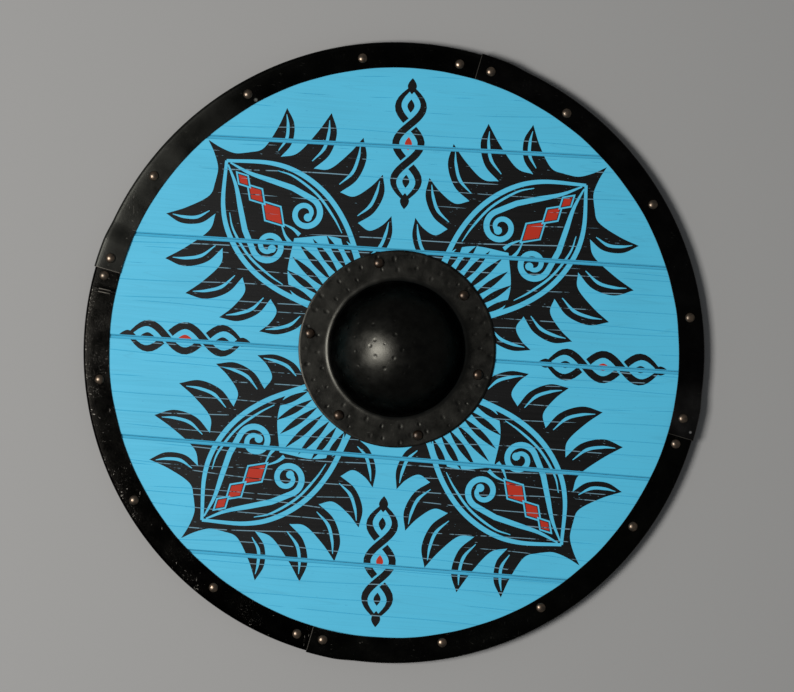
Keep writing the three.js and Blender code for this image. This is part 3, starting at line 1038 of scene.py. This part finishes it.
def rim_section(lift, angle, wave):
    """The channel's section at one angle: its outer line, then its inner line back, as (r, z)."""
    outer = SHIELD_RADIUS + lift * LAP_LIFT
    inner = SHIELD_RADIUS - RIM_WIDTH + 0.5 * noise.noise(Vector((angle / 6, 0.3, 0.7)))
    top = BOARD_FACE + SHEET + lift * LAP_LIFT
    bottom = LAP_LIFT * (1 - lift)
    lip = LIP_HEIGHT + LIP_HEIGHT * noise.noise(Vector((angle / 8, 5.1, 0.4)))
    swell = crease_height(angle) + RIM_WAVE * noise.noise(Vector((angle / 4, wave, 0.9)))

    def line(depth, corner):
        leg = [(0, -corner), (corner, 0), *((reach, 0) for reach in LEG_POINTS)]
        rises = [lip + swell, lip + swell, lip * 0.5 + swell, swell, 0.6 * swell - 0.3 * RIM_FALL]
        upper = [(inner + r, top - depth + z + rise) for (r, z), rise in zip(leg, rises)]
        lower = [(inner + r, bottom + depth - z) for r, z in leg]
        for turn in np.radians([90, 72, 54, 36, 18, 0]):
            r = outer - RIM_ROUND + (RIM_ROUND - depth) * math.cos(turn)
            z = (RIM_ROUND - depth) * math.sin(turn) - RIM_ROUND
            upper.append((r, top + z - RIM_FALL * math.sin(turn)))
            lower.append((r, bottom - z))
        return upper + lower[::-1]

    return line(0, RIM_CORNER) + line(SHEET, RIM_INNER_CORNER)[::-1]


def lap_lift(angle, edge, inward):
    """How far up a lap's upper strip is, from 1 at its end to 0 past the slope."""
    past = (angle - edge) * inward - LAP_FLAT
    share = min(1, max(0, 1 - past / LAP_SLOPE))
    return share * share * (3 - 2 * share)


def strip_angles(low, high, laps):
    """The angles of a strip's sections, closer together at its laps and its crease."""
    angles = set(np.linspace(low, high, int((high - low) / RIM_STEP)))
    for edge, inward in laps:
        slope = edge + inward * LAP_FLAT
        angles |= {slope + inward * LAP_SLOPE * share for share in np.linspace(0, 1, 10)}
        angles.add(edge + inward * LAP_WEAR_AND_GLINT)
    folds = [fold + side * CREASE_WIDTH for fold in CREASES for side in (-1, 0, 1)]
    return sorted(angles | {fold for fold in folds if low < fold < high})


def strip_steels(angles, count, laps):
    """Which of the strip's two steels each face shows: 1 where it is rubbed and painted as a glint."""
    steels = []
    for angle, following in zip(angles, angles[1:]):
        middle = (angle + following) / 2
        folded = crease_height(middle) > 0
        worn_and_glinting = any((middle - edge) * inward < LAP_WEAR_AND_GLINT for edge, inward in laps)
        for edge in range(count):
            creased = folded and edge in CREASE_EDGES
            steels.append(int(edge == LIP_EDGE or creased or (worn_and_glinting and edge < FACE_EDGES)))
    return steels


def make_rim_strip(node, start, end, first, last, pins):
    low = start - LAP_HIDDEN * (first == "under")
    high = end + LAP_HIDDEN * (last == "under")
    ends = [(start, 1, first), (end, -1, last)]
    # The strip's ends that lie over a neighbour, each with the way that the strip runs from it
    laps = [(edge, inward) for edge, inward, lie in ends if lie == "over"]
    angles = strip_angles(low, high, laps)
    points = []
    for angle in angles:
        lift = sum(lap_lift(angle, edge, inward) for edge, inward in laps)
        turn = math.radians(angle)
        section = rim_section(lift, angle, start / 10)
        points += [(*at(r, turn), z) for r, z in section]
    count = len(section)
    faces = wall_faces(count, len(angles))
    steels = strip_steels(angles, count, laps)
    final = len(points) - count
    for i in range(count // 2 - 1):
        corners = [i, i + 1, count - 2 - i, count - 1 - i]
        faces.append(corners[::-1])
        faces.append([final + corner for corner in corners])
        steels.extend([0, 0])
    mesh = new_mesh(node, points, faces, [RIM_STEELS[node], RIM_EDGE_WEAR_AND_GLINT], True, steels)
    drill(finish_piece(node, mesh), pins)


def make_rim():
    for node, start, end, first, last in RIM_STRIPS:
        margin = LAP_FLAT + 1
        held = []
        for place in places(RIM_RIVETS):
            angle = math.degrees(math.atan2(place.y, place.x))
            if (angle - start + margin) % 360 < end - start + 2 * margin:
                held.append(place)
        pins = pin_mesh(held, HOLE_RADIUS, -1, BOARD_FACE + 5)
        make_rim_strip(node, start, end, first, last, pins)


# --- Boss ---------------------------------------------------------------------------------------

BOSS_STEP = 2.3
# How far from a dent's middle its rings of points are, in shares of its radius
DENT_RINGS = (0.0, 0.45, 0.8, 1.1)
DENT_BOWL, DENT_LIP = 0.8, 0.22
# The dents that the light shows on the dome, each as its angle and distance about the boss's
# middle and its radius. The rest of the dome is too dark to see, and has others scattered on it.
DOME_DENTS = [
    (138, 33, 2.8), (99, 27, 2.2), (102, 14, 2.7), (162, 23, 2.4), (177, 26, 2.5), (162, 13, 1.3),
    (355, 5, 2.7), (202, 22, 2.8), (254, 9, 2.6), (241, 22, 2.7), (168, 42, 2.3), (187, 40, 2.3),
    (207, 40, 2.3), (229, 39, 2.4), (289, 24, 2.2), (307, 20, 2.2), (26, 17, 2.0),
]
DENT_SLOPE = 0.15
SEEN_DOME = 46
SCATTERED_TRIES, SCATTERED_GAP = 900, 12
# The flange's two rings of dents: how far across the flange each is, and its count
FLANGE_DENTS = [(0.3, 27), (0.68, 34)]
BOSS_WAVE, WAVE_LENGTH = 0.22, 22
# How much of the waves is left on the flange, how near the dome's foot they fade to that, and how
# far round the crown they fade away
FLANGE_WAVE, FLANGE_FADE, CROWN_SMOOTH = 0.4, 6, 12
EDGE_EASING = 0.35


def boss_profile(depth):
    """The boss's upper face, or one offset into the steel, as points (r, z) from crown to edge."""
    height = BOSS_CROWN - BOARD_FACE - BOSS_SHEET
    crown = (DOME_BASE_RADIUS**2 + height**2) / (2 * height)
    middle = BOSS_CROWN - crown
    flange = BOARD_FACE + BOSS_SHEET - depth
    radius, fillet = crown - depth, DOME_FILLET + depth
    rise = flange + fillet - middle
    reach = math.sqrt((radius + fillet) ** 2 - rise**2)
    join = math.atan2(rise, reach)

    def arc(r, z, size, turns):
        return [(r + size * math.cos(turn), z + size * math.sin(turn)) for turn in turns]

    dome = arc(0, middle, radius, np.linspace(math.pi / 2, join, 60))
    foot = np.linspace(math.pi + join, 3 * math.pi / 2, 12)[1:]
    return np.array(dome + arc(reach, flange + fillet, fillet, foot) + [(FLANGE_RADIUS, flange)])


def boss_dents(upper, runs):
    """Hammer marks on the boss, each as (place on the unrolled sheet, radius, depth)."""
    run, flange_start = runs[-1], runs[-2]
    chance = random.Random(7)
    dents = []
    for angle, reach, size in DOME_DENTS:
        distance = float(np.interp(reach, upper[:, 0], runs))
        dents.append((at(distance, math.radians(angle)), size, DENT_SLOPE * size))
    for _ in range(SCATTERED_TRIES):
        distance = math.sqrt(chance.random()) * (flange_start - FLANGE_FADE)
        spot = at(distance, chance.uniform(0, 2 * math.pi))
        clear = all(math.dist(spot, other) > SCATTERED_GAP for other, _, _ in dents)
        if distance > SEEN_DOME and clear:
            dents.append((spot, chance.uniform(2.1, 3.0), chance.uniform(0.26, 0.42)))
    for share, count in FLANGE_DENTS:
        for i in range(count):
            turn = (i + chance.uniform(-0.35, 0.35)) / count * 2 * math.pi
            distance = flange_start + (run - flange_start) * (share + chance.uniform(-0.14, 0.14))
            spot = at(distance, turn)
            dents.append((spot, chance.uniform(2.3, 4.1), chance.uniform(0.16, 0.42)))
    return dents


def rivet_holes(run):
    """The holes for the flange's rivets, on the unrolled sheet."""
    holes = []
    for place in places(BOSS_RIVETS):
        offset = np.array(place - BOSS_CENTRE.xy)
        distance = np.hypot(*offset)
        middle = offset * (distance + run - FLANGE_RADIUS) / distance
        holes.append(circle(middle, HOLE_RADIUS, 20))
    return holes


def boss_sheet(run, dents, holes):
    """The boss's sheet unrolled flat, as points and triangles that are closer at the dents."""
    sheet = Sheet(circle((0, 0), run, 180))
    sheet.line(circle((0, 0), run - 0.5, 180))
    for hole in holes:
        sheet.hole(hole)
    rings, steps = [], int(run / BOSS_STEP)
    for ring in range(1, steps):
        distance = ring * run / steps
        count = max(6, round(2 * math.pi * distance / BOSS_STEP))
        rings.append(circle((0, 0), distance, count, ring * 0.7))
    spread = np.vstack(rings)
    clear = np.ones(len(spread), bool)
    taken = [(spot, size) for spot, size, _ in dents]
    taken += [(hole.mean(axis=0), HOLE_RADIUS) for hole in holes]
    for middle, size in taken:
        clear &= np.hypot(*(spread - middle).T) > size * 1.3
    sheet.dots(spread[clear])
    sheet.dots([(0, 0)])
    for spot, size, _ in dents:
        for share in DENT_RINGS:
            ring = circle(spot, size * share, 11, share * 3) if share else np.array([spot])
            sheet.dots([p for p in ring if np.hypot(*p) < run - 0.8])
    points, faces, _ = sheet.triangles()
    return points, faces


def dent_depth(points, dents):
    """How deep each point lies in the dents, each a bowl with a low lip round it."""
    sunk = np.zeros(len(points))
    reach = DENT_RINGS[-1]
    for spot, size, depth in dents:
        away = np.hypot(*(points - spot).T) / size
        near = away < reach
        lip = -DENT_LIP * np.sin((away - DENT_BOWL) / (reach - DENT_BOWL) * math.pi)
        bowl = np.where(away < DENT_BOWL, 1 - (away / DENT_BOWL) ** 2, lip)
        sunk[near] = np.maximum(sunk[near], (depth * bowl)[near])
    return sunk


def boss_face(points, runs, profile, sunk):
    """The unrolled sheet's points on the boss, sunk square to its surface."""
    distance = np.hypot(*points.T)

    def profile_at(run):
        return [np.interp(run, runs, profile[:, axis]) for axis in (0, 1)]

    r, z = profile_at(distance)
    ahead, behind = (profile_at(np.clip(distance + d, 0, runs[-1])) for d in (0.6, -0.6))
    dr, dz = ahead[0] - behind[0], ahead[1] - behind[1]
    size = np.hypot(dr, dz)
    r, z = r + dz / size * sunk, z - dr / size * sunk
    turns = np.arctan2(points[:, 1], points[:, 0])
    return np.column_stack([around(BOSS_CENTRE, r, turns), z])


def make_boss():
    upper, under = boss_profile(0), boss_profile(BOSS_SHEET)
    runs = np.concatenate([[0], np.cumsum(np.hypot(*np.diff(upper, axis=0).T))])
    run, flange_start = runs[-1], runs[-2]
    dents = boss_dents(upper, runs)
    points, faces = boss_sheet(run, dents, rivet_holes(run))

    distance = np.hypot(*points.T)
    heights = [noise.noise(Vector((x / WAVE_LENGTH, y / WAVE_LENGTH, 2.5))) for x, y in points]
    wave = BOSS_WAVE * (1 + np.array(heights))
    on_flange = np.clip((distance - flange_start + FLANGE_FADE) / FLANGE_FADE, 0, 1)
    dome_wave = wave * np.clip(distance / CROWN_SMOOTH, 0, 1) * (1 - on_flange)
    sunk = dent_depth(points, dents) + dome_wave + wave * FLANGE_WAVE * on_flange
    sunk = np.where(distance > run - 0.6, sunk * 0.2, sunk)

    top = boss_face(points, runs, upper, sunk)
    top[distance > run - 0.1, 2] -= EDGE_EASING
    bottom = boss_face(points, runs, under, sunk * (1 - on_flange))
    count = len(points)
    solid_faces = faces.tolist() + (faces[:, ::-1] + count).tolist()
    for loop in boundary_loops(faces):
        for a, b in zip(loop, loop[1:] + loop[:1]):
            solid_faces.append([a, a + count, b + count, b])
    mesh = new_mesh("boss", np.vstack([top, bottom]), solid_faces, [BOSS_STEEL])
    remove_loose(mesh)
    sharpen(mesh, 50)
    finish_piece("boss", mesh)


# --- Rivets -------------------------------------------------------------------------------------

RIM_HEAD, BOSS_HEAD = 4.75, 5.2
# How much of a head's height is its upright edge, and how uneven a head is
HEAD_EDGE, HEAD_UNEVEN = 0.12, 0.05
# A boss rivet that doesn't hold the grip is peened over the board's back: the radius of its tail,
# how much of that is flat, and how high its eased edge is
PEENED_TAIL, PEENED_FLAT, PEENED_EDGE = 4.6, 0.7, 0.6


def lathe(node, centre, profile, sides, material, uneven=0.0):
    """A piece turned about an upright axis, from (r, z) points that start and end on it."""
    shift = random.Random(node).uniform(0, 100)
    points = [(*centre, profile[0][1])]
    for r, z in profile[1:-1]:
        for x, y in circle((0, 0), r, sides):
            swell = 1 + uneven * noise.noise(Vector((x / 3 + shift, y / 3, z / 3)))
            points.append((centre[0] + x * swell, centre[1] + y * swell, z))
    points.append((*centre, profile[-1][1]))
    last = len(points) - 1
    faces = []
    for a, b in loop_edges(0, sides):
        faces.append([0, 1 + b, 1 + a])
        for low in range(1, last - sides, sides):
            faces.append([low + a, low + b, low + sides + b, low + sides + a])
        faces.append([last - sides + a, last - sides + b, last])
    mesh = new_mesh(node, points, faces, [material])
    sharpen(mesh, 40)
    return finish_piece(node, mesh)


def dome_profile(radius, seat, crown, steps=9):
    """A rivet's head from its lower edge to the step before its crown, as (r, z)."""
    edge = HEAD_EDGE * (crown - seat)
    height = crown - seat - edge
    turns = np.linspace(0, math.pi / 2, steps + 1)[:-1]
    dome = [(radius * math.cos(turn), seat + edge + height * math.sin(turn)) for turn in turns]
    return [(radius, seat), *dome]


def make_rivet(node, head_radius, seat, material, tail=None):
    low, high = node_box(node)
    shank = [(0, low.z), (SHANK_RADIUS, low.z)]
    if tail:
        shank = [(0, low.z), (tail * PEENED_FLAT, low.z), (tail, low.z + PEENED_EDGE)]
        shank += [(tail, BOARD_BACK), (SHANK_RADIUS, BOARD_BACK)]
    head = dome_profile(head_radius, seat, high.z)
    profile = [*shank, (SHANK_RADIUS, seat), *head, (0, high.z)]
    lathe(node, node_centre(node).xy, profile, 28, material, HEAD_UNEVEN)


def make_rivets():
    for node in RIM_RIVETS:
        seat = BOARD_FACE + SHEET
        if node_box(node)[1].z > seat + LAP_LIFT + 2:
            seat += LAP_LIFT
        make_rivet(node, RIM_HEAD, seat, RIM_RIVET_STEEL)
    for node in BOSS_RIVETS:
        tail = None if node in GRIP_RIVETS else PEENED_TAIL
        make_rivet(node, BOSS_HEAD, BOARD_FACE + BOSS_SHEET, BOSS_RIVET_STEEL, tail)


# --- Grip ---------------------------------------------------------------------------------------

STRAP_WIDTH = 25.4
STRAP_SHEET = 2
STRAP_OVERHANG = 12
STRAP_BEVEL = 0.4
HANDLE_LENGTH = 110
HANDLE_WIDTH = 31
HANDLE_WAIST = 27
HANDLE_HEIGHT = 23
HANDLE_SIDES = 20
# How much of the handle's width its flat side has
HANDLE_FLAT = 0.97
# How the handle's end is rounded: (share of its length from the middle, share of its size)
HANDLE_END = [(-0.5, 0.74), (-0.495, 0.86), (-0.48, 0.95), (-0.455, 1)]
# A screw's head narrows from its rim to the shank, and its hole is a little wider than it is
SCREW_HEAD, SCREW_SHANK, SCREW_SINK, SCREW_RIM = 3.6, 1.8, 2, 0.2
SCREW_PLAY = 0.3
SCREW_HOLE = SCREW_SHANK + SCREW_PLAY
# The slot across each screw's head: its angle, half its length and width, and its depth
SLOT_ANGLES = (35, 112)
SLOT_HALF_LENGTH, SLOT_HALF_WIDTH, SLOT_DEPTH = 5, 0.45, 0.9


def grip_line():
    """The grip's middle, its turn, and half of the strap's length."""
    first, second = places(GRIP_RIVETS)
    along = first - second
    return (first + second) / 2, math.atan2(along.y, along.x), along.length / 2 + STRAP_OVERHANG


def placed(points, middle, turn):
    """Points given along and across a turned line, where they are on the shield."""
    c, s = math.cos(turn), math.sin(turn)
    return [(middle.x + p[0] * c - p[1] * s, middle.y + p[0] * s + p[1] * c, *p[2:]) for p in points]


def make_strap(middle, turn, half):
    radius, ends = STRAP_WIDTH / 2, []
    for side in (1, -1):
        for t in np.radians(np.linspace(-90, 90, 25)):
            ends.append((side * (half - radius + radius * math.cos(t)), side * radius * math.sin(t)))
    screws, rivets = places(GRIP_SCREWS), places(GRIP_RIVETS)
    sheet = Sheet(np.array(placed(ends, middle, turn)))
    for place in rivets:
        sheet.hole(circle(place, HOLE_RADIUS, 20))
    for place in screws:
        sheet.hole(circle(place, SCREW_HOLE, 20))
    points, faces, _ = sheet.triangles()
    back = BOARD_BACK - STRAP_SHEET

    def rings(point):
        """The strap's side at a point of its outline, bevelled, or of a hole, sunk for a screw."""
        spot = Vector(point)
        for screw in screws:
            away = spot - screw
            if away.length < SCREW_HEAD:
                wide = screw + away.normalized() * (SCREW_HEAD + SCREW_PLAY)
                return [(*wide, back), (*wide, back)]
        if any((spot - rivet).length < SCREW_HEAD for rivet in rivets):
            return [(*spot, back), (*spot, back)]
        local = Matrix.Rotation(-turn, 2) @ (spot - middle)
        reach = half - radius
        core = Vector((max(-reach, min(reach, local.x)), 0))
        bevelled = core + (local - core) * (1 - STRAP_BEVEL / radius)
        eased = middle + Matrix.Rotation(turn, 2) @ bevelled
        return [(*spot, back + STRAP_BEVEL), (*eased, back)]

    points = np.column_stack([points, np.full(len(points), BOARD_BACK)])
    steels = np.zeros(len(faces), int)
    make_slab("grip_strap", points, faces, steels, rings, [STRAP_STEEL], (0, 0), 0)


def make_handle(middle, turn):
    stations = HANDLE_END + [(share, 1) for share in np.linspace(-0.42, 0.42, 25)]
    stations += [(-share, size) for share, size in HANDLE_END[::-1]]
    rings = []
    for share, size in stations:
        waist = 0.5 + 0.5 * math.cos(2 * math.pi * share)
        width = (HANDLE_WIDTH + (HANDLE_WAIST - HANDLE_WIDTH) * waist) * size / 2
        section = [(width * HANDLE_FLAT, 0)]
        for angle in np.radians(np.linspace(2.5, 177.5, HANDLE_SIDES)):
            section.append((width * math.cos(angle), HANDLE_HEIGHT * size * math.sin(angle)))
        section.append((-width * HANDLE_FLAT, 0))
        ring = [(share * HANDLE_LENGTH, across, BOARD_BACK + up) for across, up in section]
        rings.append(placed(ring, middle, turn))
    points, faces = loft(rings)
    mesh = new_mesh("grip_handle", points, faces, [HANDLE_WOOD])
    piece = finish_piece("grip_handle", mesh)
    tip = node_box(GRIP_SCREWS[0])[1].z
    drill(piece, pin_mesh(places(GRIP_SCREWS), SCREW_HOLE, BOARD_BACK - 1, tip + SCREW_PLAY))


def make_screw(node, turn):
    """A countersunk screw with a straight slot across its head, which looks down."""
    low, high = node_box(node)
    middle = node_centre(node).xy
    profile = [
        (0, low.z), (SCREW_HEAD, low.z), (SCREW_HEAD, low.z + SCREW_RIM),
        (SCREW_SHANK, low.z + SCREW_SINK), (SCREW_SHANK, high.z - SCREW_SHANK), (0, high.z),
    ]
    piece = lathe(node, middle, profile, 24, RIM_RIVET_STEEL)
    length, width = SLOT_HALF_LENGTH, SLOT_HALF_WIDTH
    corners = [(-length, -width), (length, -width), (length, width), (-length, width)]
    slot = [[(x, y, z) for x, y in corners] for z in (low.z - 1, low.z + SLOT_DEPTH)]
    points, faces = loft([placed(ring, middle, turn) for ring in slot])
    drill(piece, new_mesh("slot", points, faces, [], False))


def make_grip():
    middle, turn, half = grip_line()
    make_strap(middle, turn, half)
    make_handle(middle, turn)
    for node, angle in zip(GRIP_SCREWS, SLOT_ANGLES):
        make_screw(node, math.radians(angle))


# --- Floor, light and camera --------------------------------------------------------------------

FLOOR_SIZE = 8
FLOOR_GREY = 0.31
KEY_SIZE, KEY_POWER, KEY_DISTANCE = 1.25, 118, 3.5
# The light's angle round the shield, and how far it is tilted from straight above
KEY_AZIMUTH, KEY_TILT = 188, 33
KEY_COLOUR = (1.0, 0.99, 0.97)
SKY_COLOUR, SKY_STRENGTH = (0.9, 0.95, 1.0, 1), 0.16
CAMERA_DISTANCE = 2.4
CAMERA_ROLL = 3.94
VIEW_WIDTH = 0.779
SENSOR = 36
# How far left and below the middle of the view the shield's centre is, in millimetres
VIEW_OFFSET = (2.92, 6.55)


def make_floor():
    half = FLOOR_SIZE / 2 / MM
    corners = [(-half, -half, 0), (half, -half, 0), (half, half, 0), (-half, half, 0)]
    grey = (FLOOR_GREY, FLOOR_GREY * 0.985, FLOOR_GREY * 0.965, 1)
    paint = Nodes("floor_paint", Base_Color=grey, Roughness=0.9)
    new_object("floor", new_mesh("floor", corners, [[0, 1, 2, 3]], [paint.material], False))


def make_lights():
    lamp = bpy.data.lights.new("key", "AREA")
    lamp.shape, lamp.size, lamp.energy, lamp.color = "SQUARE", KEY_SIZE, KEY_POWER, KEY_COLOUR
    light = new_object("key", lamp)
    side, tilt = math.radians(KEY_AZIMUTH), math.radians(KEY_TILT)
    away = Vector((math.cos(side) * math.sin(tilt), math.sin(side) * math.sin(tilt), math.cos(tilt)))
    light.location = away * KEY_DISTANCE
    light.rotation_euler = away.to_track_quat("Z", "Y").to_euler()
    world = bpy.data.worlds.new("studio")
    world.use_nodes = True
    background = world.node_tree.nodes["Background"]
    background.inputs["Color"].default_value = SKY_COLOUR
    background.inputs["Strength"].default_value = SKY_STRENGTH
    bpy.context.scene.world = world
    bpy.context.scene.view_settings.view_transform = "Standard"


def make_camera():
    lens = bpy.data.cameras.new("camera")
    lens.sensor_width = SENSOR
    lens.lens = SENSOR * CAMERA_DISTANCE / VIEW_WIDTH
    camera = new_object("camera", lens)
    roll = math.radians(CAMERA_ROLL)
    right = Vector((math.cos(roll), math.sin(roll), 0))
    up = Vector((-math.sin(roll), math.cos(roll), 0))
    place = (right * VIEW_OFFSET[0] + up * VIEW_OFFSET[1]) * MM
    camera.location = place + Vector((0, 0, BOARD_FACE * MM + CAMERA_DISTANCE))
    camera.rotation_euler = (0, 0, roll)
    bpy.context.scene.camera = camera


make_planks()
make_rim()
make_boss()
make_rivets()
make_grip()
make_floor()
make_lights()
make_camera()
